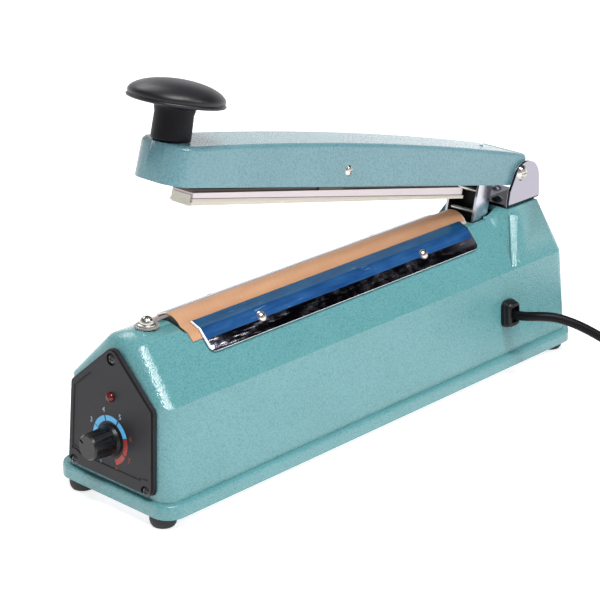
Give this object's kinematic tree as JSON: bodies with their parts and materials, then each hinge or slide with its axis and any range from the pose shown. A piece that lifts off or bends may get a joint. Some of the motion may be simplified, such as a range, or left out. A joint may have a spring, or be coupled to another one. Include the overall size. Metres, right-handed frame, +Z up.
{
  "type": "impulse heat sealer",
  "caption": "Hand-operated impulse bag sealer: cast base with a heated seal bed, spring-opened arm with a tilting press bar, timer knob and mains lead.",
  "frame": {"origin": "on the floor, under the middle of the whole length, knob included and lead left out", "axes": "+Z up; X along the length, with the control panel at -X and the hinge at +X; the mains lead leaves at -Y"},
  "size_m": [0.4094, 0.1904, 0.2064],
  "materials": {
    "hammertone_paint": "hammertone enamel, semi-gloss",
    "plate_steel": "zinc plated, dull",
    "screw_steel": "zinc plated",
    "black_rubber": "matt",
    "panel_plastic": "fine grained, semi-matt",
    "black_screw": "black oxide",
    "red_lens": "clear red, glossy",
    "knob_plastic": "moulded, semi-gloss",
    "circuit_board": "solder mask",
    "core_steel": "varnished laminations",
    "coil_winding": "taped winding",
    "plunger_plastic": "moulded",
    "aluminium": "drawn, satin",
    "insulation": "glass cloth tape",
    "ribbon_metal": "bright rolled",
    "clear_washer": "translucent",
    "nickel": "nickel plated",
    "release_cloth": "coated glass cloth, satin",
    "blue_film": "mirror steel partly under blue film",
    "plated_steel": "bright plated",
    "spring_steel": "drawn wire",
    "handle_plastic": "moulded, glossy",
    "carrier_plastic": "moulded, matt",
    "silicone": "silicone, matt",
    "cord_sheath": "smooth, semi-matt"
  },
  "bodies": {
    "base": {"base_housing": "hammertone_paint", "bottom_plate": "plate_steel", "bottom_screws": "screw_steel", "rubber_feet": "black_rubber", "foot_screws": "screw_steel", "control_panel": "panel_plastic", "panel_screws": "black_screw", "indicator_lamp": "red_lens", "timer_potentiometer": "plate_steel", "timer_board": "circuit_board", "transformer_core": "core_steel", "transformer_coil": "coil_winding", "microswitch": "knob_plastic", "seal_bed": "aluminium", "bed_insulation": "insulation", "heating_ribbon": "ribbon_metal", "terminal_washers": "clear_washer", "terminal_screws": "nickel", "release_cloth": "release_cloth", "cover_plate_near": "blue_film", "cover_plate_far": "blue_film", "cover_plate_screws": "nickel", "hinge_bracket": "plated_steel", "bracket_screws": "nickel", "hinge_pin": "nickel", "spring_hanger": "plate_steel", "return_spring": "spring_steel", "cord_bush": "knob_plastic", "mains_lead": "cord_sheath", "lead_coil": "cord_sheath", "mains_plug": "cord_sheath"},
    "arm": {"sealing_arm": "hammertone_paint", "hinge_bush": "plate_steel", "lever": "plated_steel", "lever_pins": "nickel", "handle": "handle_plastic", "handle_screw": "screw_steel", "bar_pivot_screw": "nickel"},
    "press_bar": {"bar_carrier": "carrier_plastic", "press_bar": "aluminium", "sealing_rubber": "silicone"},
    "timer_knob": {"timer_knob": "knob_plastic"},
    "switch_plunger": {"switch_plunger": "plunger_plastic"}
  },
  "joints": [
    {"name": "arm_hinge", "type": "hinge", "parent": "base", "child": "arm", "pos_m": [0.13825, 0, 0.1078], "axis": [0, 1, 0], "range_deg": [-12.6, 0], "stiffness_Nm_per_rad": 2, "springref_deg": 34.38, "deforming": ["return_spring"]},
    {"name": "press_bar_tilt", "type": "hinge", "parent": "arm", "child": "press_bar", "pos_m": [-0.00208, 0, 0.14102], "axis": [0, 1, 0], "range_deg": [-0.15, 0.15]},
    {"name": "timer_knob_turn", "type": "hinge", "parent": "base", "child": "timer_knob", "pos_m": [-0.14912, 0, 0.037], "axis": [0.998, 0, -0.0637], "range_deg": [-90, 225]},
    {"name": "switch_plunger_slide", "type": "slide", "parent": "base", "child": "switch_plunger", "axis": [1, 0, 0], "range_m": [0, 0.0012], "stiffness_N_per_m": 200}
  ],
  "couplings": [
    {"joint": "switch_plunger_slide", "follows": "arm_hinge", "m_per_rad": -0.005456}
  ]
}
